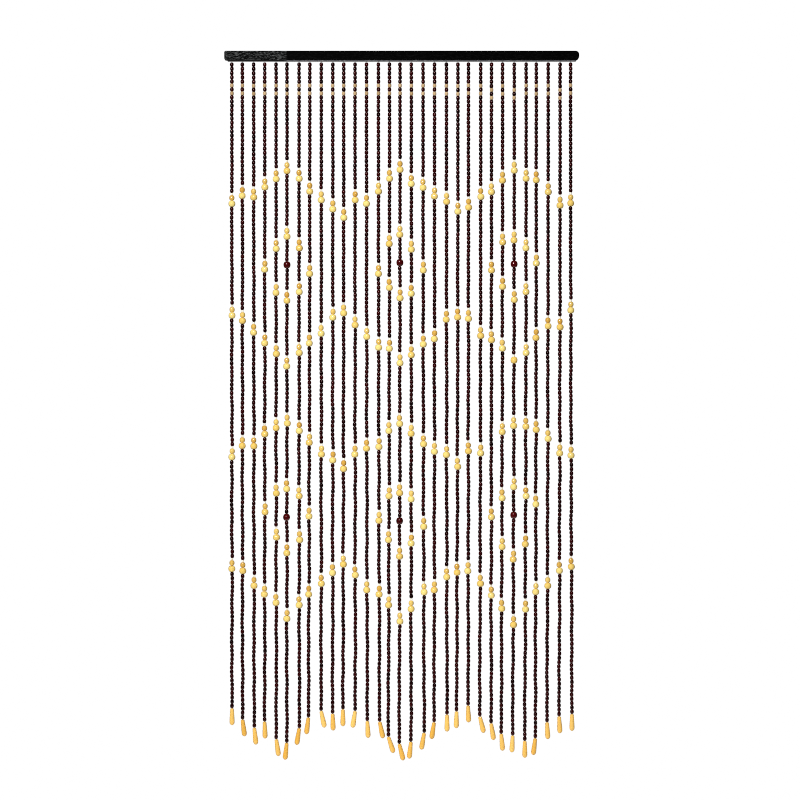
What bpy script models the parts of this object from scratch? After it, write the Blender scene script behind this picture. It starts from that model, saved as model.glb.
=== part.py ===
"""Wooden bead curtain on its head rail, as solids at real size.

A black wooden rail carries a narrow stringing strip along its underside. Thirty-one strands of
beads hang from the strip, and a turned wooden drop hangs at the foot of each strand. The beads
make two rows of zigzags with a diamond inside every peak.

Units are metres, +Z is up, and the front of the curtain faces -Y. The origin is the middle of the
rail's flat back, the face that goes against the wall above the doorway.
"""

import math
from collections import namedtuple

import bmesh
import bpy

MM = 0.001
GAP = 0.3 * MM

# Head rail
RAIL_LENGTH = 900 * MM
RAIL_HEIGHT = 23 * MM
RAIL_DEPTH = 20 * MM
RAIL_LEFT_ROUND = 4 * MM
RAIL_RIGHT_ROUND = 9 * MM
RAIL_ROUND_STEPS = 6
RAIL_EDGE_BEVEL = 1.5 * MM
RAIL_BEVEL_STEPS = 2

# Stringing strip under the rail, one body with the strands
STRIP_LENGTH = 884 * MM
STRIP_HEIGHT = 2.5 * MM
STRIP_DEPTH = 16 * MM
STRIP_TOP = -RAIL_HEIGHT / 2 - GAP
STRIP_BOTTOM = STRIP_TOP - STRIP_HEIGHT
MID_Y = -RAIL_DEPTH / 2

# Strands, spaced evenly about a middle that sits a little left of the rail's
STRAND_PITCH = 28.7 * MM
STRANDS_ASIDE = -2.7 * MM
THREAD_SHOWN = 2.8 * MM
ROOT_HALF = 1.5 * MM
ROOT_CELL_HALF = 4 * MM

# Beads: the width of each kind as half of it, and the length that it takes on the string
RUN_HALF = 4.4 * MM
RUN_SHOULDER = 2 * MM
TIP_HALF = 2.6 * MM
PALE_LENGTH = 9.1 * MM
NECK_LENGTH = 5.5 * MM
NECK_HALF = 2.7 * MM
SMALL_BALL_LENGTH = 13.8 * MM
SMALL_BALL_HALF = 6.9 * MM
PINCH_HALF = 3.4 * MM
LARGE_BALL_LENGTH = 16 * MM
LONE_BALL_LENGTH = 17.5 * MM
LARGE_BALL_HALF = 9.2 * MM
RED_BALL_LENGTH = 17.8 * MM
RED_BALL_HALF = 9 * MM

# A ball is drawn with two rings, at these shares of its length and of its half width
BALL_RINGS_AT = (0.3, 0.7)
BALL_RING_SHARE = 0.95

# Turned drop, as (distance below its top, radius)
DROP_LENGTH = 43 * MM
DROP_PROFILE = (
    (0.0, 1.5 * MM),
    (1.8 * MM, 4.6 * MM),
    (0.76 * DROP_LENGTH, 6.4 * MM),
    (0.92 * DROP_LENGTH, 5.2 * MM),
    (DROP_LENGTH, 1.8 * MM),
)
DROP_SIDES = 8

# Stringing chart, left to right. order lists the beads from the rail down: a number is a run of
# dark beads, o a small pale bead, P a pair of yellow balls, L a lone yellow ball and R a red ball.
# bead is the length of the strand's dark beads in millimetres, root and foot are how far the
# strand's two ends lie right of even spacing in millimetres, and lean is its drop's in degrees.
Strand = namedtuple("Strand", "order bead root foot lean")
STRANDS = (
    Strand("5 o 1 o 23 P 23 P 30 P 23 P 32", 10.80, 2.0, 2.5, 0),
    Strand("5 o 1 o 21 P 26 P 26 P 26 P 34", 10.85, 0.0, 0.5, 7),
    Strand("5 o 1 o 21 P 28 P 23 P 29 P 32", 11.00, 0.0, 1.5, 6),
    Strand("5 o 1 o 19 P 16 P 14 P 18 P 15 P 16 P 29", 10.85, -0.5, -1.0, 2),
    Strand("5 o 1 o 17 P 13 P 7 P 11 P 14 P 12 P 7 P 12 P 31", 10.90, -0.5, 0.0, 8),
    Strand("5 o 1 o 15 P 12 P 5 R 5 P 12 P 10 P 12 P 5 R 5 P 12 P 28", 10.95, -1.5, -2.0, -6),
    Strand("5 o 1 o 17 P 13 P 7 P 11 P 15 P 12 P 7 P 12 P 28", 10.85, 0.5, 1.0, -9),
    Strand("5 o 1 o 20 P 16 P 13 P 20 P 14 P 15 P 28", 10.85, -1.0, -4.5, -7),
    Strand("5 o 1 o 22 P 28 P 25 P 27 P 29", 10.85, -0.5, -1.0, 12),
    Strand("5 o 1 o 24 P 22 P 30 P 23 P 32", 10.90, 0.0, -0.5, 2),
    Strand("5 o 1 o 26 P 19 P 33 P 19 P 33", 10.90, -1.0, -3.0, 0),
    Strand("5 o 1 o 22 P 26 P 27 P 25 P 31", 10.85, -1.0, -0.5, -9),
    Strand("5 o 1 o 23 P 28 P 23 P 30 P 30", 10.80, -0.5, 1.5, 3),
    Strand("5 o 1 o 20 P 16 P 14 P 20 P 14 P 14 P 29", 10.85, 1.0, 4.0, 12),
    Strand("5 o 1 o 17 P 12 P 7 P 11 P 16 P 12 P 7 P 12 P 30", 10.85, 0.5, -2.5, 18),
    Strand("5 o 1 o 15 P 12 P 5 R 5 P 12 P 11 P 13 P 5 R 5 P 12 P 28", 10.80, -1.5, -3.5, 14),
    Strand("5 o 1 o 18 P 12 P 7 P 11 P 15 P 12 P 7 P 12 P 30", 10.95, -1.5, -2.5, -6),
    Strand("5 o 1 o 19 P 16 P 14 P 20 P 16 P 12 P 32", 10.90, -0.5, 2.5, -10),
    Strand("5 o 1 o 21 P 30 P 23 P 29 P 30", 10.90, 0.0, -1.0, -9),
    Strand("5 o 1 o 22 P 24 P 28 P 25 P 31", 11.00, 1.5, 3.0, 0),
    Strand("5 o 1 o 24 P 21 P 31 P 21 P 31", 11.10, 2.0, -1.5, -1),
    Strand("5 o 1 o 24 P 23 P 28 P 25 P 31", 10.75, 0.0, -1.0, 2),
    Strand("5 o 1 o 21 P 29 P 24 P 27 P 30", 10.95, 2.5, 0.0, 14),
    Strand("6 o 1 o 19 P 15 P 13 P 38 P 15 P 29", 10.90, 1.0, 0.0, 9),
    Strand("5 o 1 o 17 P 11 P 7 P 11 P 16 P 12 P 8 P 11 P 28", 11.05, 0.5, -3.0, 5),
    Strand("6 o 1 o 14 P 13 P 4 R 5 P 12 L 12 P 11 P 5 R 7 P 12 P 25", 10.90, 1.5, -2.5, -3),
    Strand("5 o 1 o 17 P 13 P 7 P 11 P 14 P 13 P 8 P 12 P 30", 10.85, 3.0, -0.5, 0),
    Strand("5 o 1 o 17 P 16 P 14 P 18 P 14 P 17 P 33", 11.00, 0.0, -2.5, -7),
    Strand("5 o 1 o 20 P 28 P 23 P 31 P 31", 10.90, 1.5, -1.5, 3),
    Strand("6 o 1 o 22 P 25 P 26 P 24 P 33", 10.95, 3.0, 0.5, 3),
    Strand("5 o 1 o 23 P 22 P 31 P 23 P 34", 10.75, 1.0, 4.5, 0),
)


def clear_scene():
    """Remove the objects that the file opened with."""
    for old in list(bpy.data.objects):
        bpy.data.objects.remove(old)


def material(name, colour, roughness):
    """Return a Principled material of one linear colour and roughness."""
    mat = bpy.data.materials.new(name)
    mat.use_nodes = True
    shader = mat.node_tree.nodes["Principled BSDF"]
    shader.inputs["Base Color"].default_value = (*colour, 1.0)
    shader.inputs["Roughness"].default_value = roughness
    shader.inputs["Metallic"].default_value = 0.0
    return mat


def mesh_from(bm, name, mat):
    """Turn the faces outward and return the bmesh as a mesh with its material."""
    bmesh.ops.recalc_face_normals(bm, faces=bm.faces)
    mesh = bpy.data.meshes.new(name)
    bm.to_mesh(mesh)
    bm.free()
    mesh.materials.append(mat)
    return mesh


def place(name, mesh):
    """Link a new object that shows the mesh and return it."""
    piece = bpy.data.objects.new(name, mesh)
    bpy.context.collection.objects.link(piece)
    return piece


def rail_outline():
    """Points of the rail seen from the front: a bar whose four corners are quarter circles."""
    half_length = RAIL_LENGTH / 2
    half_height = RAIL_HEIGHT / 2
    corners = (
        (1, 1, RAIL_RIGHT_ROUND, 0.0),
        (-1, 1, RAIL_LEFT_ROUND, 0.5 * math.pi),
        (-1, -1, RAIL_LEFT_ROUND, math.pi),
        (1, -1, RAIL_RIGHT_ROUND, 1.5 * math.pi),
    )
    points = []
    for side, rise, radius, start in corners:
        centre_x = side * (half_length - radius)
        centre_z = rise * (half_height - radius)
        for step in range(RAIL_ROUND_STEPS + 1):
            angle = start + 0.5 * math.pi * step / RAIL_ROUND_STEPS
            points.append((centre_x + radius * math.cos(angle), centre_z + radius * math.sin(angle)))
    return points


def make_rail():
    """Head rail: the outline drawn on the wall, pulled forward, its front edge eased."""
    bm = bmesh.new()
    back = bm.faces.new([bm.verts.new((x, 0.0, z)) for x, z in rail_outline()])
    front = bmesh.ops.extrude_face_region(bm, geom=[back])["geom"]
    front_verts = [item for item in front if isinstance(item, bmesh.types.BMVert)]
    front_edges = [item for item in front if isinstance(item, bmesh.types.BMEdge)]
    bmesh.ops.translate(bm, verts=front_verts, vec=(0.0, -RAIL_DEPTH, 0.0))
    bmesh.ops.bevel(
        bm,
        geom=front_edges,
        offset=RAIL_EDGE_BEVEL,
        offset_type="OFFSET",
        segments=RAIL_BEVEL_STEPS,
        profile=0.5,
        affect="EDGES",
    )
    mesh = mesh_from(bm, "head_rail", material("black_painted_wood", (0.01, 0.01, 0.01), 0.4))
    place("head_rail", mesh)


def strand_stops(strand):
    """Rings of one strand as (depth below the strip, half width), and the depth of its end."""
    stops = []
    depth = THREAD_SHOWN
    in_run = False
    for word in strand.order.split():
        if word.isdigit() or word == "o":
            if not in_run:
                stops.append((depth + RUN_SHOULDER, RUN_HALF))
                in_run = True
            depth += PALE_LENGTH if word == "o" else int(word) * strand.bead * MM
            continue
        stops.append((depth - RUN_SHOULDER, RUN_HALF))
        in_run = False
        if word in "PL":
            stops.append((depth + NECK_LENGTH / 2, NECK_HALF))
            depth += NECK_LENGTH
        if word == "P":
            stops.append((depth + SMALL_BALL_LENGTH / 2, SMALL_BALL_HALF))
            depth += SMALL_BALL_LENGTH
            stops.append((depth, PINCH_HALF))
        length, half = {
            "P": (LARGE_BALL_LENGTH, LARGE_BALL_HALF),
            "L": (LONE_BALL_LENGTH, LARGE_BALL_HALF),
            "R": (RED_BALL_LENGTH, RED_BALL_HALF),
        }[word]
        for share in BALL_RINGS_AT:
            stops.append((depth + share * length, BALL_RING_SHARE * half))
        depth += length
    stops.append((depth - RUN_SHOULDER, RUN_HALF))
    stops.append((depth, TIP_HALF))
    return stops, depth


def strand_x(index, depth, full_depth):
    """Sideways place of a strand: it drifts from root to foot with the square of the depth."""
    strand = STRANDS[index]
    even = STRANDS_ASIDE + (index - (len(STRANDS) - 1) / 2) * STRAND_PITCH
    drift = (strand.foot - strand.root) * (depth / full_depth) ** 2
    return even + (strand.root + drift) * MM


def add_ring(bm, x, z, half):
    """Add four corners left, front, right and back of the strand's middle."""
    corners = ((-half, 0.0), (0.0, -half), (half, 0.0), (0.0, half))
    return [bm.verts.new((x + dx, MID_Y + dy, z)) for dx, dy in corners]


def join_rings(bm, upper, lower):
    """Wrap the band between two rings with four-sided faces."""
    for here in range(len(upper)):
        after = (here + 1) % len(upper)
        bm.faces.new((upper[here], upper[after], lower[after], lower[here]))


def add_station(bm, x):
    """Add the strip's four corners at x: bottom front, bottom back, top back, top front."""
    front = MID_Y - STRIP_DEPTH / 2
    back = MID_Y + STRIP_DEPTH / 2
    corners = ((front, STRIP_BOTTOM), (back, STRIP_BOTTOM), (back, STRIP_TOP), (front, STRIP_TOP))
    return [bm.verts.new((x, y, z)) for y, z in corners]


def join_stations(bm, left, right, root=None):
    """Wrap the strip between two stations, and leave a strand's root open in its underside."""
    for here, after in ((1, 2), (2, 3), (3, 0)):
        bm.faces.new((left[here], left[after], right[after], right[here]))
    if root is None:
        bm.faces.new((left[0], left[1], right[1], right[0]))
        return
    around = (left[0], right[0], right[1], left[1])
    for side in range(4):
        corner = root[(side + 1) % 4]
        bm.faces.new((around[side], around[(side + 1) % 4], corner))
        bm.faces.new((around[side], corner, root[side]))


def make_strand_curtain():
    """Strip and strands as one body: each strand grows out of a four-sided root in the strip."""
    bm = bmesh.new()
    last = add_station(bm, -STRIP_LENGTH / 2)
    bm.faces.new(last)
    for index, strand in enumerate(STRANDS):
        stops, full_depth = strand_stops(strand)
        root_x = strand_x(index, 0.0, full_depth)
        left = add_station(bm, root_x - ROOT_CELL_HALF)
        right = add_station(bm, root_x + ROOT_CELL_HALF)
        ring = add_ring(bm, root_x, STRIP_BOTTOM, ROOT_HALF)
        join_stations(bm, last, left)
        join_stations(bm, left, right, ring)
        last = right
        for depth, half in stops:
            lower = add_ring(bm, strand_x(index, depth, full_depth), STRIP_BOTTOM - depth, half)
            join_rings(bm, ring, lower)
            ring = lower
        bm.faces.new(ring)
    end = add_station(bm, STRIP_LENGTH / 2)
    join_stations(bm, last, end)
    bm.faces.new(end)
    mesh = mesh_from(bm, "strand_curtain", material("dark_lacquered_wood", (0.03, 0.006, 0.005), 0.25))
    place("strand_curtain", mesh)


def drop_mesh():
    """Turned drop with its top at the origin, hanging down its own -Z."""
    bm = bmesh.new()
    rings = []
    for depth, radius in DROP_PROFILE:
        ring = []
        for side in range(DROP_SIDES):
            angle = 2 * math.pi * side / DROP_SIDES
            ring.append(bm.verts.new((radius * math.cos(angle), radius * math.sin(angle), -depth)))
        rings.append(ring)
    for upper, lower in zip(rings, rings[1:]):
        join_rings(bm, upper, lower)
    bm.faces.new(rings[0])
    bm.faces.new(rings[-1])
    return mesh_from(bm, "drop", material("golden_wood", (0.85, 0.5, 0.12), 0.35))


def make_drops():
    """Hang a drop at the foot of each strand, leaning sideways about its own top."""
    mesh = drop_mesh()
    top_radius = DROP_PROFILE[0][1]
    for index, strand in enumerate(STRANDS):
        full_depth = strand_stops(strand)[1]
        lean = math.radians(strand.lean)
        clearance = GAP + top_radius * math.sin(abs(lean))
        drop = place(f"drop_{index + 1:02d}", mesh)
        foot_x = strand_x(index, full_depth, full_depth)
        drop.location = (foot_x, MID_Y, STRIP_BOTTOM - full_depth - clearance)
        drop.rotation_euler = (0.0, -lean, 0.0)


clear_scene()
make_rail()
make_strand_curtain()
make_drops()
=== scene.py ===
# %% [markdown]
# # A wooden bead curtain
#
# This lesson dresses a bead curtain for a doorway: a black rail, thirty-one strings of glossy dark
# beads with pairs of yellow balls in zigzags and diamonds, and a turned wooden drop at every foot.
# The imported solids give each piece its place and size. Their strings are plain four-sided bars, so
# every bead, ball, string and drop that the eye meets is made here, in the place of a solid.

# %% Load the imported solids
import math
from collections import namedtuple

import bpy
import numpy as np
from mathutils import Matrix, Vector


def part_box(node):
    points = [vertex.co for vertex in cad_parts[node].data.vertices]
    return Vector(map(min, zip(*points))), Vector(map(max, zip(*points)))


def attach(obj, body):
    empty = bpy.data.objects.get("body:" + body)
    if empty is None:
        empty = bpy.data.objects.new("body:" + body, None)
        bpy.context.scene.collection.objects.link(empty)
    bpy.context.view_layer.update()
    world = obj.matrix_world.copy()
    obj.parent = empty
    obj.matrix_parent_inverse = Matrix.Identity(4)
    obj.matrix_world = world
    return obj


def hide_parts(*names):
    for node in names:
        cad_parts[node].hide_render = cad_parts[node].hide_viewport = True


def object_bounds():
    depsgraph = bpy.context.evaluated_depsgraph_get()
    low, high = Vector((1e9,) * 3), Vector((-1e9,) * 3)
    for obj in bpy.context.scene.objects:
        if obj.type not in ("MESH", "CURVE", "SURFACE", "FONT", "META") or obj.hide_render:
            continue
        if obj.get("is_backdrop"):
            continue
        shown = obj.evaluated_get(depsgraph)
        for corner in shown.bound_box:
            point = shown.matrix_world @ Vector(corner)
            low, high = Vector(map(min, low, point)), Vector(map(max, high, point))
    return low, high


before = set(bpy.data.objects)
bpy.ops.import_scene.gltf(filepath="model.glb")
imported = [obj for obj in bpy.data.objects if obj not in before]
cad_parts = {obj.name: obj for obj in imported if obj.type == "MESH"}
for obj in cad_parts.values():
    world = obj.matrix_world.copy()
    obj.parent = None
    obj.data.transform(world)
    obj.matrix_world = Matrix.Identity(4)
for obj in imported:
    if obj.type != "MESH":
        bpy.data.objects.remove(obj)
solid_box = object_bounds()
MM = 0.001
for end, corner in zip(("from", "to"), solid_box):
    print("solids", end, [round(value, 4) for value in corner])

# %% [markdown]
# ## Sizes
#
# The rail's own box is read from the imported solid, and the strings hang from the middle of its
# depth. A maker's sizes for each kind of bead follow: how long it is on the string, how wide it is,
# and how wide its flat ends are. The solids were spaced with the same lengths.

# %% Sizes read from the solids and a maker's sizes
rail_low, rail_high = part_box("head_rail")
strands_low, strands_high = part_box("strand_curtain")
RAIL_LENGTH = rail_high.x - rail_low.x
RAIL_HEIGHT = rail_high.z - rail_low.z
RAIL_DEPTH = rail_high.y - rail_low.y
MID_Y = (rail_low.y + rail_high.y) / 2
RAIL_LEFT_ROUND = 4 * MM
RAIL_RIGHT_ROUND = 9 * MM
RAIL_EASED_EDGE = 1.5 * MM
STRIP_HEIGHT = 2.5 * MM
STRIP_DEPTH = 16 * MM
STRIP_EASED_EDGE = 0.5 * MM
STRIP_CLEARANCE = 0.04 * MM
STRIP_BOTTOM = strands_high.z - STRIP_HEIGHT
STRIP_TOP = rail_low.z - STRIP_CLEARANCE

STRAND_PITCH = 28.7 * MM
STRANDS_ASIDE = -2.7 * MM
SLOW_WAVES = 4.5
SLOW_SWING = 0.45 * MM
QUICK_WAVES = 18.5
QUICK_SWING = 0.65 * MM
FULL_SWING_AT = 0.6
CALM_FOOT = 0.04
THREAD_SHOWN = 2.8 * MM
STRING_RADIUS = 0.55 * MM
BORE_RADIUS = 0.95 * MM
SLACK = 0.04 * MM
DROP_GAP = 0.3 * MM

# length is what the bead takes on the string, radius is its belly and lip is its flat end's radius
Bead = namedtuple("Bead", "length radius lip")
DARK = Bead(10.9 * MM, 5.05 * MM, 2.6 * MM)
PALE = Bead(9.1 * MM, 4.7 * MM, 3.4 * MM)
SPACER = Bead(5.5 * MM, 2.75 * MM, 2.3 * MM)
SMALL_BALL = Bead(13.8 * MM, 6.9 * MM, 2.2 * MM)
LARGE_BALL = Bead(16 * MM, 9.2 * MM, 2.8 * MM)
LONE_BALL = Bead(17.5 * MM, 9.2 * MM, 2.8 * MM)
RED_BALL = Bead(17.8 * MM, 9 * MM, 2.6 * MM)
DROP_LENGTH = 43 * MM
print("rail", round(RAIL_LENGTH / MM), "x", round(RAIL_DEPTH / MM), "x", round(RAIL_HEIGHT / MM), "mm")

# %% [markdown]
# ## The stringing chart
#
# A stringer works from a chart with one line for each string. In order, a number is a run of dark
# beads, o a small pale bead, P a pair of yellow balls under a cream spacer, L a lone yellow ball and
# R a red ball. bead is the length of that string's dark beads in millimetres, because beads were
# sorted by size before stringing. root and foot say how far right of even spacing the string's two
# ends lie, and lean is the slant of its drop in degrees, with the lower end to the right.

# %% Chart, left to right
Strand = namedtuple("Strand", "order bead root foot lean")
STRANDS = (
    Strand("5 o 1 o 23 P 23 P 30 P 23 P 32", 10.80, 2.0, 2.5, 0),
    Strand("5 o 1 o 21 P 26 P 26 P 26 P 34", 10.85, 0.0, 0.5, 7),
    Strand("5 o 1 o 21 P 28 P 23 P 29 P 32", 11.00, 0.0, 1.5, 6),
    Strand("5 o 1 o 19 P 16 P 14 P 18 P 15 P 16 P 29", 10.85, -0.5, -1.0, 2),
    Strand("5 o 1 o 17 P 13 P 7 P 11 P 14 P 12 P 7 P 12 P 31", 10.90, -0.5, 0.0, 8),
    Strand("5 o 1 o 15 P 12 P 5 R 5 P 12 P 10 P 12 P 5 R 5 P 12 P 28", 10.95, -1.5, -2.0, -6),
    Strand("5 o 1 o 17 P 13 P 7 P 11 P 15 P 12 P 7 P 12 P 28", 10.85, 0.5, 1.0, -9),
    Strand("5 o 1 o 20 P 16 P 13 P 20 P 14 P 15 P 28", 10.85, -1.0, -4.5, -7),
    Strand("5 o 1 o 22 P 28 P 25 P 27 P 29", 10.85, -0.5, -1.0, 12),
    Strand("5 o 1 o 24 P 22 P 30 P 23 P 32", 10.90, 0.0, -0.5, 2),
    Strand("5 o 1 o 26 P 19 P 33 P 19 P 33", 10.90, -1.0, -3.0, 0),
    Strand("5 o 1 o 22 P 26 P 27 P 25 P 31", 10.85, -1.0, -0.5, -9),
    Strand("5 o 1 o 23 P 28 P 23 P 30 P 30", 10.80, -0.5, 1.5, 3),
    Strand("5 o 1 o 20 P 16 P 14 P 20 P 14 P 14 P 29", 10.85, 1.0, 4.0, 12),
    Strand("5 o 1 o 17 P 12 P 7 P 11 P 16 P 12 P 7 P 12 P 30", 10.85, 0.5, -2.5, 18),
    Strand("5 o 1 o 15 P 12 P 5 R 5 P 12 P 11 P 13 P 5 R 5 P 12 P 28", 10.80, -1.5, -3.5, 14),
    Strand("5 o 1 o 18 P 12 P 7 P 11 P 15 P 12 P 7 P 12 P 30", 10.95, -1.5, -2.5, -6),
    Strand("5 o 1 o 19 P 16 P 14 P 20 P 16 P 12 P 32", 10.90, -0.5, 2.5, -10),
    Strand("5 o 1 o 21 P 30 P 23 P 29 P 30", 10.90, 0.0, -1.0, -9),
    Strand("5 o 1 o 22 P 24 P 28 P 25 P 31", 11.00, 1.5, 3.0, 0),
    Strand("5 o 1 o 24 P 21 P 31 P 21 P 31", 11.10, 2.0, -1.5, -1),
    Strand("5 o 1 o 24 P 23 P 28 P 25 P 31", 10.75, 0.0, -1.0, 2),
    Strand("5 o 1 o 21 P 29 P 24 P 27 P 30", 10.95, 2.5, 0.0, 14),
    Strand("6 o 1 o 19 P 15 P 13 P 38 P 15 P 29", 10.90, 1.0, 0.0, 9),
    Strand("5 o 1 o 17 P 11 P 7 P 11 P 16 P 12 P 8 P 11 P 28", 11.05, 0.5, -3.0, 5),
    Strand("6 o 1 o 14 P 13 P 4 R 5 P 12 L 12 P 11 P 5 R 7 P 12 P 25", 10.90, 1.5, -2.5, -3),
    Strand("5 o 1 o 17 P 13 P 7 P 11 P 14 P 13 P 8 P 12 P 30", 10.85, 3.0, -0.5, 0),
    Strand("5 o 1 o 17 P 16 P 14 P 18 P 14 P 17 P 33", 11.00, 0.0, -2.5, -7),
    Strand("5 o 1 o 20 P 28 P 23 P 31 P 31", 10.90, 1.5, -1.5, 3),
    Strand("6 o 1 o 22 P 25 P 26 P 24 P 33", 10.95, 3.0, 0.5, 3),
    Strand("5 o 1 o 23 P 22 P 31 P 23 P 34", 10.75, 1.0, 4.5, 0),
)
print(len(STRANDS), "strings on the chart")

# %% [markdown]
# ## From chart to places
#
# Beads sit on their string by their own length, so a place is a running sum. The chart is read word
# by word into one long list of beads, each with its kind, its string and its depth below the strip.
# From then on everything is done with whole arrays.


# %% Read the chart into arrays
def beads_on(strand):
    """List one string's beads as (kind, bead) in order, a pair being spacer, small and large ball."""
    dark = DARK._replace(length=strand.bead * MM)
    words = {
        "o": [("pale", PALE)],
        "P": [("spacer", SPACER), ("small", SMALL_BALL), ("large", LARGE_BALL)],
        "L": [("spacer", SPACER), ("large", LONE_BALL)],
        "R": [("red", RED_BALL)],
    }
    strung = []
    for word in strand.order.split():
        strung += [("dark", dark)] * int(word) if word.isdigit() else words[word]
    return strung


kinds, owners, depths, lengths, radii, lips, string_depths = [], [], [], [], [], [], []
for number, strand in enumerate(STRANDS):
    strung = beads_on(strand)
    own = np.array([bead.length for kind, bead in strung])
    ends = THREAD_SHOWN + np.cumsum(own)
    kinds += [kind for kind, bead in strung]
    owners += [number] * len(strung)
    depths += list(ends - own)
    lengths += list(own)
    radii += [bead.radius for kind, bead in strung]
    lips += [bead.lip for kind, bead in strung]
    string_depths.append(ends[-1])
kinds, owners, depths = np.array(kinds), np.array(owners), np.array(depths)
lengths, radii, lips = np.array(lengths), np.array(radii), np.array(lips)
string_depths = np.array(string_depths)
roots = np.array([strand.root for strand in STRANDS]) * MM
feet = np.array([strand.foot for strand in STRANDS]) * MM
leans = np.radians([strand.lean for strand in STRANDS])
phases = np.random.default_rng(7).uniform(0, 2 * math.pi, (4, len(STRANDS)))
for kind in np.unique(kinds):
    print(np.count_nonzero(kinds == kind), kind, "beads")


def wander(number, share, first):
    """A slow and a quick sine added, about a millimetre to and fro.

    Both grow evenly down to 0.6 of the string, and fade to nothing over its last twenty-fifth.
    """
    slow = SLOW_SWING * np.sin(2 * math.pi * SLOW_WAVES * share + phases[first][number])
    quick = QUICK_SWING * np.sin(2 * math.pi * QUICK_WAVES * share + phases[first + 1][number])
    swell = np.clip(share / FULL_SWING_AT, 0, 1) * np.clip((1 - share) / CALM_FOOT, 0, 1)
    return (slow + quick) * swell


def string_x(number, depth):
    """Sideways place: even spacing, root, (foot - root) times (depth / full depth) squared, waves."""
    even = STRANDS_ASIDE + (number - (len(STRANDS) - 1) / 2) * STRAND_PITCH
    share = depth / string_depths[number]
    return even + roots[number] + (feet[number] - roots[number]) * share**2 + wander(number, share, 0)


def string_y(number, depth):
    """Place from front to back: the middle of the rail's depth, and waves half as large."""
    return MID_Y + 0.5 * wander(number, depth / string_depths[number], 2)


# %% [markdown]
# ## Putting a surface into a mesh
#
# Every shape below is a grid: one direction runs around a profile, the other runs around a circle
# or along a path. A turned bead with a drilled bore closes both ways, like a ring, so its grid has
# no seam and no pole at all. The helper takes whole arrays of points and four-sided faces.


# %% Mesh helpers
def grid_faces(rows, columns, close_rows, close_columns):
    """Faces of a grid whose point (i, j) is number i * columns + j, wrapped where a side is closed."""
    i = np.arange(rows if close_rows else rows - 1)[:, None]
    j = np.arange(columns if close_columns else columns - 1)[None, :]
    below = (i + 1) % rows
    after = (j + 1) % columns
    corners = (i * columns + j, below * columns + j, below * columns + after, i * columns + after)
    return np.stack(np.broadcast_arrays(*corners), axis=-1).reshape(-1, 4)


CREASE = math.radians(40)


def make_piece(name, points, faces, material, replaces, tone=None):
    """Build the mesh, shade it smooth but for edges over 40 degrees, and hang it on the body."""
    mesh = bpy.data.meshes.new(name)
    mesh.from_pydata(points.reshape(-1, 3), [], faces)
    if tone is not None:
        layer = mesh.attributes.new("tone", "FLOAT", "POINT")
        layer.data.foreach_set("value", tone.astype(np.float32))
    mesh.shade_smooth()
    mesh.set_sharp_from_angle(angle=CREASE)
    mesh.materials.append(material)
    piece = bpy.data.objects.new(name, mesh)
    bpy.context.collection.objects.link(piece)
    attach(piece, "root")
    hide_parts(replaces)
    return piece


# %% [markdown]
# ## Colours and nodes
#
# Colours are noted as the hex values one would read off a photograph. The shader wants linear
# light, so one function converts them. A second small function adds a node with its settings and
# links, and the materials are built from those two.


# %% Colour and node helpers
def linear(code):
    """Hex sRGB to linear: c / 12.92 up to 0.04045, above it ((c + 0.055) / 1.055) to the power 2.4."""
    srgb = np.array([int(code[start : start + 2], 16) for start in (1, 3, 5)]) / 255
    low = srgb / 12.92
    high = ((srgb + 0.055) / 1.055) ** 2.4
    return (*np.where(srgb <= 0.04045, low, high).tolist(), 1.0)


def add(tree, kind, values=None, links=None, **settings):
    """Add a node, set its settings and socket values, and link its inputs to other outputs."""
    node = tree.nodes.new("ShaderNode" + kind)
    for key, value in settings.items():
        setattr(node, key, value)
    for key, value in (values or {}).items():
        node.inputs[key].default_value = value
    for key, output in (links or {}).items():
        tree.links.new(output, node.inputs[key])
    return node


def start_material(name, **values):
    """Return a material with its tree and its Principled shader, whose named sockets are set."""
    material = bpy.data.materials.new(name)
    material.use_nodes = True
    tree = material.node_tree
    shader = tree.nodes["Principled BSDF"]
    for key, value in values.items():
        shader.inputs[key.replace("_", " ")].default_value = value
    return material, tree, shader


GRAIN_WEIGHT = 0.5
GRAIN_RELIEF = 0.05 * MM


def turned_wood(name, dark, light, grain_mm, streak, bump, **values):
    """Turned wood: grain stretched along the string, and each bead its own tone.

    Fibres lie grain_mm apart and are streak times as long as they are wide. Colour is a mix from
    dark to light by the bead's tone plus half the grain, and the same grain lifts the surface by
    bump times a twentieth of a millimetre.
    """
    material, tree, shader = start_material(name, **values)
    place = add(tree, "TexCoord")
    across = 1 / (grain_mm * MM)
    scale = (across, across, across / streak)
    stretch = add(tree, "Mapping", {"Scale": scale}, {"Vector": place.outputs["Object"]})
    grain = add(
        tree,
        "TexNoise",
        {"Scale": 1.0, "Detail": 4.0, "Roughness": 0.6},
        {"Vector": stretch.outputs["Vector"]},
    )
    tone = add(tree, "Attribute", attribute_name="tone")
    both = add(
        tree,
        "Math",
        {1: GRAIN_WEIGHT},
        {0: grain.outputs["Fac"], 2: tone.outputs["Fac"]},
        operation="MULTIPLY_ADD",
    )
    share = add(tree, "MapRange", {"From Min": 0.2, "From Max": 1.3}, {"Value": both.outputs[0]})
    colour = add(
        tree,
        "Mix",
        {"A": linear(dark), "B": linear(light)},
        {"Factor": share.outputs["Result"]},
        data_type="RGBA",
    )
    relief = add(
        tree,
        "Bump",
        {"Strength": bump, "Distance": GRAIN_RELIEF},
        {"Height": grain.outputs["Fac"]},
    )
    tree.links.new(colour.outputs[2], shader.inputs["Base Color"])
    tree.links.new(relief.outputs["Normal"], shader.inputs["Normal"])
    return material


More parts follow.
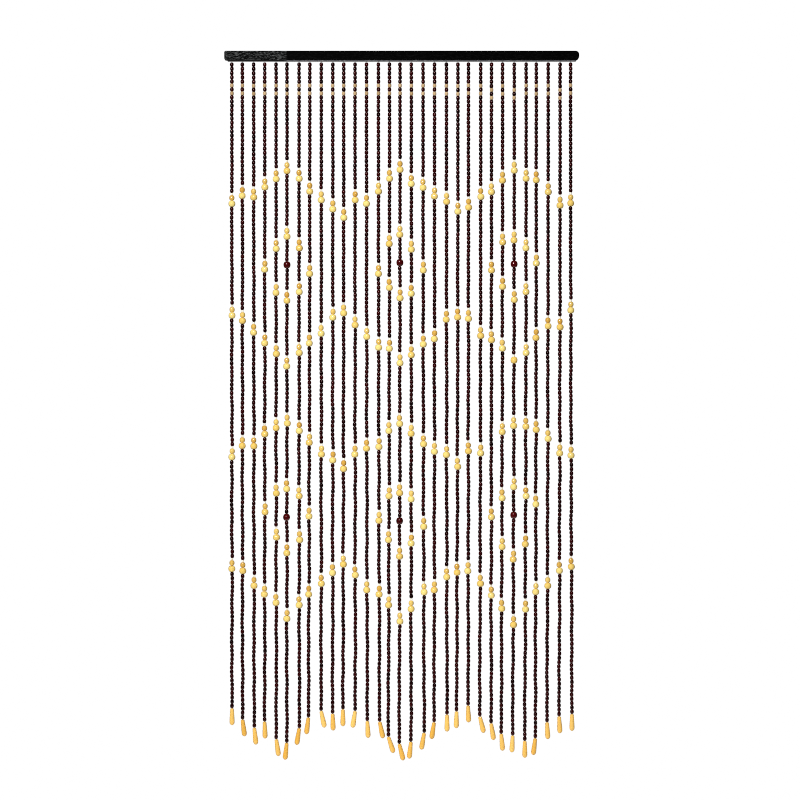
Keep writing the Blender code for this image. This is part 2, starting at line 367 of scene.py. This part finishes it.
# %% [markdown]
# ## Seven finishes of turned wood
#
# All the beads are small softwood turnings. The dark ones and the red ones were dipped in a
# red-stained lacquer, which is near black by itself and tints its own small highlight, and the red
# ones got a clear coat on top. The large and small balls and the drops have clear lacquer over
# three yellow stains, so their highlight is white. The little beads near the top are sanded and
# left raw, and the spacers are painted cream. Softwood fibres show about half a millimetre apart.

# %% Bead finishes
RED_LACQUER = {"Specular_IOR_Level": 0.56, "Specular_Tint": linear("#FFC6C6"), "IOR": 1.5}
lacquered_dark = turned_wood(
    "dark_lacquered_wood",
    "#070001",
    "#320305",
    grain_mm=0.6,
    streak=6,
    bump=0.3,
    Roughness=0.25,
    **RED_LACQUER,
)
lacquered_red = turned_wood(
    "maroon_lacquered_wood",
    "#2E0103",
    "#54050A",
    grain_mm=0.6,
    streak=6,
    bump=0.2,
    Roughness=0.2,
    Coat_Weight=0.6,
    Coat_Roughness=0.2,
    **RED_LACQUER,
)

# Under clear lacquer the wood has no surface of its own against air, so only the coat mirrors light.
DIPPED = {
    "Roughness": 0.6,
    "Specular_IOR_Level": 0.0,
    "Coat_Weight": 1.0,
    "Coat_Roughness": 0.1,
    "Coat_IOR": 1.5,
}
stained_yellow = turned_wood(
    "pale_yellow_lacquered_wood", "#F4CC68", "#FFE68C", grain_mm=0.7, streak=5, bump=0.4, **DIPPED
)
stained_golden = turned_wood(
    "golden_lacquered_wood", "#D6A244", "#F2D074", grain_mm=0.7, streak=5, bump=0.4, **DIPPED
)
stained_drop = turned_wood(
    "golden_lacquered_drop_wood", "#EEB44C", "#FFD072", grain_mm=0.6, streak=16, bump=0.4, **DIPPED
)
raw_pale = turned_wood(
    "sanded_raw_wood",
    "#B09062",
    "#CEAE82",
    grain_mm=0.6,
    streak=5,
    bump=0.6,
    Roughness=0.6,
    IOR=1.5,
)
painted_cream = turned_wood(
    "cream_painted_wood",
    "#EEE6CC",
    "#FBF6E6",
    grain_mm=0.5,
    streak=4,
    bump=0.2,
    Roughness=0.4,
    IOR=1.5,
)
print("seven finishes of turned wood")


# %% [markdown]
# ## Stringing the beads
#
# A bead is turned round its bore. Its outer profile swells from the flat end to the belly and back,
# and the drilled bore closes it on the inside. One profile is worked out once and then copied to
# every bead of its kind in a single array: scaled to the bead's own length and radius, turned and
# tipped a little at random as loose beads are, and moved to its place. With 70 faces each, four
# thousand dark beads stay light.


# %% Turn one profile, copy it to many places
SMALLEST_SHARE = 0.96
TIP = 0.02
LOOSE = 0.25 * MM


def bead_profile(steps, flat, full):
    """Outer half profile as (share t along the bead, share of the swell), from lip to lip.

    The swell is 1 - |2t - 1| to the power flat, all to the power full. With 2 and 0.5 that is a
    circle. A larger flat lengthens the belly, and a larger full thins the shoulders to an olive.
    """
    along = 0.5 - 0.5 * np.cos(np.linspace(0, math.pi, steps))
    return along, (1 - np.abs(2 * along - 1) ** flat) ** full


def strung_beads(chosen, steps, sides, flat, full, seed):
    """Points, faces and tones of all the chosen beads, as one joined surface.

    A point lies at radius r(t) = lip + (belly - lip) * swell(t) round the string at depth t * length,
    and the last two profile points run back up the bore. At random, a bead is up to a twenty-fifth
    thinner, tips by about a degree, and sits up to a quarter of a millimetre off its string's path.
    """
    random = np.random.default_rng(seed)
    count = np.count_nonzero(chosen)
    along, swell = bead_profile(steps, flat, full)
    along = np.concatenate([along, [1.0, 0.0]])
    radius = lips[chosen, None] + (radii - lips)[chosen, None] * np.concatenate([swell, [0.0, 0.0]])
    radius *= random.uniform(SMALLEST_SHARE, 1.0, (count, 1))
    radius[:, -2:] = BORE_RADIUS
    angle = 2 * math.pi * np.arange(sides) / sides
    turn = random.uniform(0, 2 * math.pi, (count, 1, 1)) + angle
    x = radius[:, :, None] * np.cos(turn)
    y = radius[:, :, None] * np.sin(turn)
    own_length = (lengths[chosen] - SLACK)[:, None, None]
    z = own_length * (0.5 - along)[None, :, None] + np.zeros_like(x)
    tip_x, tip_y = random.normal(0, TIP, (2, count, 1, 1)).clip(-2 * TIP, 2 * TIP)
    x, y, z = x + tip_x * z, y + tip_y * z, z - tip_x * x - tip_y * y
    middle = (depths + lengths / 2)[chosen]
    loose_x, loose_y = random.uniform(-LOOSE, LOOSE, (2, count))
    x += (string_x(owners[chosen], middle) + loose_x)[:, None, None]
    y += (string_y(owners[chosen], middle) + loose_y)[:, None, None]
    z += (STRIP_BOTTOM - middle)[:, None, None]
    points = np.stack([x, y, z], axis=-1)
    rings = steps + 2
    one = grid_faces(rings, sides, True, True)
    faces = (one[None] + (np.arange(count) * rings * sides)[:, None, None]).reshape(-1, 4)
    tone = np.repeat(random.uniform(0, 1, count), rings * sides)
    return points, faces, tone


# %% String the dark beads, one mesh for each string
DARK_SEED = 100
for number in range(len(STRANDS)):
    chosen = (kinds == "dark") & (owners == number)
    points, faces, tone = strung_beads(
        chosen, steps=5, sides=10, flat=2, full=0.55, seed=DARK_SEED + number
    )
    make_piece(
        f"dark_beads_{number + 1:02d}",
        points,
        faces,
        lacquered_dark,
        "strand_curtain",
        tone,
    )
print(np.count_nonzero(kinds == "dark"), "dark beads strung")

# %% String the balls, spacers and pale beads
# kind, name, finish, slot, then steps, sides, flat and full of the profile
others = (
    ("pale", "raw_wood_beads", raw_pale, "golden_wood", 6, 12, 2.4, 0.5),
    ("spacer", "cream_spacers", painted_cream, "golden_wood", 4, 12, 2, 0.5),
    ("small", "golden_balls", stained_golden, "golden_wood", 8, 12, 2, 0.5),
    ("large", "yellow_balls", stained_yellow, "golden_wood", 8, 14, 2, 0.5),
    ("red", "red_balls", lacquered_red, "dark_lacquered_beads", 12, 20, 2, 0.5),
)
for seed, (kind, name, material, slot, steps, sides, flat, full) in enumerate(others):
    points, faces, tone = strung_beads(kinds == kind, steps, sides, flat, full, seed)
    make_piece(name, points, faces, material, "strand_curtain", tone)
    print(name, "has", len(faces), "faces")

# %% [markdown]
# ## The strings
#
# A waxed cotton string of just over a millimetre runs through every bore. It shows between the rail
# and the first bead. The cotton is dull with a soft sheen, and its twist shows as slanting bands of
# two creams. Each string is a thin tube carried along the same path as its beads, and all of them
# are one mesh.

# %% Waxed cotton
# A strand of the twist comes round every 4.74 mm. The wave node runs through ten radians for each
# unit of x + y + z, and a full wave takes two pi.
TWIST = 4.74 * MM
waxed_cotton, tree, shader = start_material("waxed_cotton", Roughness=0.8, Sheen_Weight=0.3)
place = add(tree, "TexCoord")
twist = add(
    tree,
    "TexWave",
    {"Scale": 2 * math.pi / (10 * TWIST), "Distortion": 0.4},
    {"Vector": place.outputs["Object"]},
    bands_direction="DIAGONAL",
)
ply = add(
    tree,
    "Mix",
    {"A": linear("#D9D2BF"), "B": linear("#F7F3E6")},
    {"Factor": twist.outputs["Fac"]},
    data_type="RGBA",
)
lift = add(tree, "Bump", {"Strength": 0.5, "Distance": 0.1 * MM}, {"Height": twist.outputs["Fac"]})
tree.links.new(ply.outputs[2], shader.inputs["Base Color"])
tree.links.new(lift.outputs["Normal"], shader.inputs["Normal"])
print("waxed cotton, twisted every", round(TWIST / MM, 2), "mm")

# %% Carry a tube along every string
STATIONS = 70
TUBE_SIDES = 6
INTO_DROP = 1 * MM
number = np.arange(len(STRANDS))[:, None, None]
share = np.linspace(0, 1, STATIONS)[None, :, None]
around = (2 * math.pi * np.arange(TUBE_SIDES) / TUBE_SIDES)[None, None, :]
depth = share * (string_depths[number] + INTO_DROP) + 0 * around
points = np.stack(
    [
        string_x(number, depth) + STRING_RADIUS * np.cos(around),
        string_y(number, depth) + STRING_RADIUS * np.sin(around),
        STRIP_BOTTOM - depth,
    ],
    axis=-1,
)
tube = grid_faces(STATIONS, TUBE_SIDES, False, True)
faces = (tube[None] + (np.arange(len(STRANDS)) * STATIONS * TUBE_SIDES)[:, None, None]).reshape(-1, 4)
make_piece("strings", points, faces, waxed_cotton, "strand_curtain")
print(len(faces), "faces in the strings")

# %% [markdown]
# ## The turned drops
#
# Each foot carries a long wooden drop, narrower at the top and rounded at the bottom, drilled right
# through. It hangs from its top, so it leans a little to whichever side its bore was drilled. The
# outer profile is one curve; its two rounded ends are quarter ellipses.


# %% Turn and hang the drops
def drop_profile(steps):
    """(depth share, radius): a slow swell from neck to widest, times a quarter ellipse at each end.

    The swell is neck + (wide - neck) * s * s * (3 - 2 s), with s the share of the way to the widest
    point. A quarter ellipse is the square root of 1 - u squared, u running from 1 at the tip to 0.
    """
    neck, wide, widest_at = 4.7 * MM, 6.4 * MM, 0.8
    top_round, foot_round = 0.06, 0.18
    least_radius = 1.3 * MM
    t = 0.5 - 0.5 * np.cos(np.linspace(0, math.pi, steps))
    s = np.clip(t / widest_at, 0, 1)
    swell = neck + (wide - neck) * s * s * (3 - 2 * s)
    top = np.clip(1 - t / top_round, 0, 1)
    foot = np.clip((t - 1 + foot_round) / foot_round, 0, 1)
    radius = swell * np.sqrt(1 - top**2) * np.sqrt(1 - foot**2)
    return t, np.maximum(radius, least_radius)


# A leaning drop lifts its top edge, so it hangs lower by this reach times the sine of its lean.
TOP_REACH = 1.5 * MM
DROP_STEPS = 22
DROP_SIDES = 20
along, radius = drop_profile(DROP_STEPS)
along = np.concatenate([along, [1.0, 0.0]])
radius = np.concatenate([radius, [BORE_RADIUS, BORE_RADIUS]])
angle = 2 * math.pi * np.arange(DROP_SIDES) / DROP_SIDES
ring_x = radius[:, None] * np.cos(angle)
ring_y = radius[:, None] * np.sin(angle)
ring_z = -along[:, None] * DROP_LENGTH + 0 * angle
faces = grid_faces(DROP_STEPS + 2, DROP_SIDES, True, True)
tones = np.random.default_rng(31).uniform(0, 1, len(STRANDS))
for number, lean in enumerate(leans):
    node = f"drop_{number + 1:02d}"
    clearance = DROP_GAP + TOP_REACH * math.sin(abs(lean))
    x = ring_x * math.cos(lean) - ring_z * math.sin(lean)
    z = ring_x * math.sin(lean) + ring_z * math.cos(lean)
    x = x + string_x(number, string_depths[number])
    z = z + STRIP_BOTTOM - string_depths[number] - clearance
    points = np.stack([x, ring_y + MID_Y, z], axis=-1)
    tone = np.full(points[..., 0].size, tones[number])
    make_piece(f"turned_{node}", points, faces, stained_drop, node, tone)
print(len(STRANDS), "drops hung")

# %% [markdown]
# ## Rail and strip
#
# The rail is a planed bar. Seen from the front its corners are quarter circles, tighter at the left
# end than at the right, so it is a rectangle carried from end to end whose height follows those
# circles. A bevel eases the long edges as a plane would. The strip under it, where the strings are
# knotted, is a straight bar of the same kind.
#
# Gloss black paint is black by itself and mirrors the lamps sharply. Left of a border it was brushed
# thin, so that grey grain shows through, and that grey is lightened further as a painted sheen of the
# lamp; right of it the coat is full. On the strip the paint is rubbed dull, and right of the same
# border a grey is painted as the highlight along its lower edge.

# %% Black paint
PAINT_GRAIN = 2.4 * MM
GRAIN_DRAWN_OUT = 3
BORDER_BLEND = 4 * MM


def black_paint(name, brushed, smooth, border, **values):
    """Black paint over planed wood. brushed and smooth are (dark, light) pairs of colours.

    Both pairs are mixed by the same grain, a noise drawn out 3 times along X, whose middle values
    are spread out. The brushed pair is used left of border, and the smooth one right of it. On the
    rail the brushed grey is grain with a painted sheen, and on the strip the smooth grey is a
    painted highlight.
    """
    material, tree, shader = start_material(name, **values)
    place = add(tree, "TexCoord")
    across = 1 / PAINT_GRAIN
    scale = (across / GRAIN_DRAWN_OUT, across, across)
    stretch = add(tree, "Mapping", {"Scale": scale}, {"Vector": place.outputs["Object"]})
    grain = add(
        tree,
        "TexNoise",
        {"Scale": 1.0, "Detail": 5.0, "Roughness": 0.65},
        {"Vector": stretch.outputs["Vector"]},
    )
    share = add(tree, "MapRange", {"From Min": 0.48, "From Max": 0.68}, {"Value": grain.outputs["Fac"]})
    split = add(tree, "SeparateXYZ", links={"Vector": place.outputs["Object"]})
    side = add(
        tree,
        "MapRange",
        {"From Min": border - BORDER_BLEND, "From Max": border + BORDER_BLEND},
        {"Value": split.outputs["X"]},
    )
    pairs = [
        add(
            tree,
            "Mix",
            {"A": linear(pair[0]), "B": linear(pair[1])},
            {"Factor": share.outputs["Result"]},
            data_type="RGBA",
        )
        for pair in (brushed, smooth)
    ]
    colour = add(
        tree,
        "Mix",
        links={"Factor": side.outputs["Result"], "A": pairs[0].outputs[2], "B": pairs[1].outputs[2]},
        data_type="RGBA",
    )
    relief = add(
        tree,
        "Bump",
        {"Strength": 0.25, "Distance": 0.1 * MM},
        {"Height": grain.outputs["Fac"]},
    )
    tree.links.new(colour.outputs[2], shader.inputs["Base Color"])
    tree.links.new(relief.outputs["Normal"], shader.inputs["Normal"])
    return material


# Left of this x the rail's grey is grain with a painted sheen; right of it the strip's grey is a
# painted highlight.
PAINTED_SHEEN_BORDER = -294 * MM
rail_paint = black_paint(
    "gloss_black_paint_grain_and_painted_sheen",
    # brushed part: grain, its grey lightened as a painted sheen of the lamp
    ("#050606", "#5C5E5E"),
    ("#030303", "#0E0E0E"),
    PAINTED_SHEEN_BORDER,
    Roughness=0.08,
    IOR=1.5,
)
strip_paint = black_paint(
    "dull_black_paint_with_painted_highlight",
    ("#020202", "#0C0C0C"),
    # painted highlight: the grey line the lamp makes along the strip's lower edge
    ("#46464A", "#78787A"),
    PAINTED_SHEEN_BORDER,
    Roughness=0.7,
    Specular_IOR_Level=0.2,
)
print("black paint, brushed thin up to x =", PAINTED_SHEEN_BORDER, "m")


# %% Carry a rectangle from end to end
def carried_bar(name, stations, halves, y_range, z_middle, material, node, ease):
    """A rectangle carried along X: at each station it reaches its half height above and below.

    The four corners run front top, back top, back bottom, front bottom, and each end is one face.
    """
    front, back = y_range
    corner_y = np.array([front, back, back, front])
    corner_sign = np.array([1, 1, -1, -1])
    x = stations[:, None] + 0 * corner_y
    y = corner_y + 0 * x
    z = z_middle + halves[:, None] * corner_sign
    points = np.stack([x, y, z], axis=-1)
    count = len(stations)
    faces = grid_faces(count, 4, False, True)
    first = np.array([[0, 1, 2, 3]])
    last = np.array([[3, 2, 1, 0]]) + 4 * (count - 1)
    piece = make_piece(name, points, np.vstack([faces, first, last]), material, node)
    bevel = piece.modifiers.new("eased_edges", "BEVEL")
    bevel.width = ease
    bevel.segments = 3
    bevel.limit_method = "ANGLE"
    bevel.angle_limit = math.radians(50)
    return piece


def rounded_end(radius, side, steps=9):
    """Stations and half heights of one end: quarter circle x = r (1 - cos a), height r sin a."""
    a = np.linspace(0, math.pi / 2, steps)
    x = side * (RAIL_LENGTH / 2 - radius * (1 - np.cos(a)))
    half = RAIL_HEIGHT / 2 - radius + radius * np.sin(a)
    return x, half


left_x, left_half = rounded_end(RAIL_LEFT_ROUND, -1)
right_x, right_half = rounded_end(RAIL_RIGHT_ROUND, 1)
carried_bar(
    "rail_bar",
    np.concatenate([left_x, right_x[::-1]]),
    np.concatenate([left_half, right_half[::-1]]),
    (rail_low.y, rail_high.y),
    (rail_low.z + rail_high.z) / 2,
    rail_paint,
    "head_rail",
    RAIL_EASED_EDGE,
)
carried_bar(
    "stringing_strip",
    np.array([strands_low.x, strands_high.x]),
    np.full(2, (STRIP_TOP - STRIP_BOTTOM) / 2),
    (MID_Y - STRIP_DEPTH / 2, MID_Y + STRIP_DEPTH / 2),
    (STRIP_TOP + STRIP_BOTTOM) / 2,
    strip_paint,
    "strand_curtain",
    STRIP_EASED_EDGE,
)
print("rail and strip carried from end to end")

# %% [markdown]
# ## Floor, light and camera
#
# The curtain hangs in front of plain white, square on to the camera. The key light stands in front
# on the left, higher than the rail, so each bead has its highlight just up and left of its middle.
# Its beam is narrow and aimed at the rail, so the highlights fade towards the foot. A light under it
# is aimed at the foot and keeps the yellow wood evenly bright, and one behind brightens the back.
# Gloss mirrors neither of these two. Dark lacquer mirrors the room too, so the room is kept dim for
# it, as a photographer does with black cloth, while the camera itself sees plain white all round.
# A pale floor lies two metres under the rail, and the camera sees it brightened to match the white.
# The camera is far away with a long lens, which keeps the strings parallel.

# %% Floor
FLOOR_WIDTH = 3.2
FLOOR_DEPTH = 1.4
FLOOR_DROP = 2.0
FLOOR_COLOUR = linear("#F6F5F2")
corner_signs = np.array([[-1, -1, 0], [1, -1, 0], [1, 1, 0], [-1, 1, 0]])
corners = corner_signs * [FLOOR_WIDTH / 2, FLOOR_DEPTH / 2, 0] + [0, 0, rail_high.z - FLOOR_DROP]
floor_mesh = bpy.data.meshes.new("floor")
floor_mesh.from_pydata(corners, [], [[0, 1, 2, 3]])
floor_paint, tree, shader = start_material(
    "pale_floor", Roughness=0.9, Base_Color=FLOOR_COLOUR, Emission_Color=FLOOR_COLOUR
)
path = add(tree, "LightPath")
tree.links.new(path.outputs["Is Camera Ray"], shader.inputs["Emission Strength"])
floor_mesh.materials.append(floor_paint)
floor = bpy.data.objects.new("floor", floor_mesh)
bpy.context.collection.objects.link(floor)
floor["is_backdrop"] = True
print("floor lies", FLOOR_DROP, "m under the rail's top")

# %% Camera and its framing
# Where the rail lies in the picture, in pixels: its length, the row of its top, its middle column.
RAIL_PIXELS = 354.5
RAIL_TOP_ROW = 51.2
RAIL_MIDDLE_COLUMN = 401.7
IMAGE_SIDE = 800
PIXEL = 900 * MM / RAIL_PIXELS
SENSOR = 36.0
LENS = 135.0
frame_width = IMAGE_SIDE * PIXEL
middle_x = (IMAGE_SIDE / 2 - RAIL_MIDDLE_COLUMN) * PIXEL
middle_z = rail_high.z - (IMAGE_SIDE / 2 - RAIL_TOP_ROW) * PIXEL
camera_data = bpy.data.cameras.new("camera")
camera_data.lens = LENS
camera_data.sensor_width = SENSOR
camera_data.clip_end = 200
camera = bpy.data.objects.new("camera", camera_data)
bpy.context.collection.objects.link(camera)
distance = frame_width * LENS / SENSOR
camera.location = (middle_x, MID_Y - distance, middle_z)
camera.rotation_euler = (math.pi / 2, 0, 0)
bpy.context.scene.camera = camera
print("camera stands", round(distance, 2), "m away")


# %% Soft studio light
def soft_light(name, place, aim_z, power, size, spread=180):
    """Stand a round area light at place and aim it at height aim_z on the curtain's middle line.

    spread is the full angle in degrees past which the light gives nothing.
    """
    data = bpy.data.lights.new(name, "AREA")
    data.shape = "DISK"
    data.energy = power
    data.size = size
    data.spread = math.radians(spread)
    light = bpy.data.objects.new(name, data)
    light.location = place
    aim = Vector((middle_x, MID_Y, aim_z)) - light.location
    light.rotation_euler = aim.to_track_quat("-Z", "Y").to_euler()
    bpy.context.collection.objects.link(light)
    return light


FOOT_Z = -1.75
soft_light("key_light", (-1.6, -4.5, 1.4), aim_z=0, power=13.7, size=0.9, spread=44)
low_light = soft_light("low_light", (-1.6, -4.5, 0.3), aim_z=FOOT_Z, power=9.2, size=0.9, spread=40)
low_light.visible_glossy = False
back_light = soft_light("back_light", (1.6, 4.2, 1.0), aim_z=middle_z, power=160, size=2.5)
back_light.visible_glossy = False
print("three soft lights stand round the curtain")

# %% White studio that lacquer mirrors only dimly
SEEN, LIT, MIRRORED = 1.0, 0.22, 0.01
world = bpy.data.worlds.new("white_studio")
world.use_nodes = True
studio = world.node_tree
path = add(studio, "LightPath")
seen = add(
    studio,
    "Math",
    {1: SEEN - LIT, 2: LIT},
    {0: path.outputs["Is Camera Ray"]},
    operation="MULTIPLY_ADD",
)
strength = add(
    studio,
    "Math",
    {1: MIRRORED - LIT},
    {0: path.outputs["Is Glossy Ray"], 2: seen.outputs[0]},
    operation="MULTIPLY_ADD",
)
background = studio.nodes["Background"]
background.inputs["Color"].default_value = (1, 1, 1, 1)
studio.links.new(strength.outputs[0], background.inputs["Strength"])
bpy.context.scene.world = world
bpy.context.scene.view_settings.view_transform = "Standard"
print("studio seen at", SEEN, "lights with", LIT, "and is mirrored at", MIRRORED)

# %% Keep highlights that are smaller than a pixel
# A denoiser takes the spark on each bead for noise, and a wide pixel filter blurs the waists away.
bpy.context.scene.cycles.use_denoising = False
bpy.context.scene.cycles.filter_width = 1.0

# %% [markdown]
# ## Closing
#
# The looks' box is measured and printed, to set beside the solids' box printed at the top.

# %% Print the looks' box
visual_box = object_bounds()
for end, corner in zip(("from", "to"), visual_box):
    print("looks", end, [round(value, 4) for value in corner])
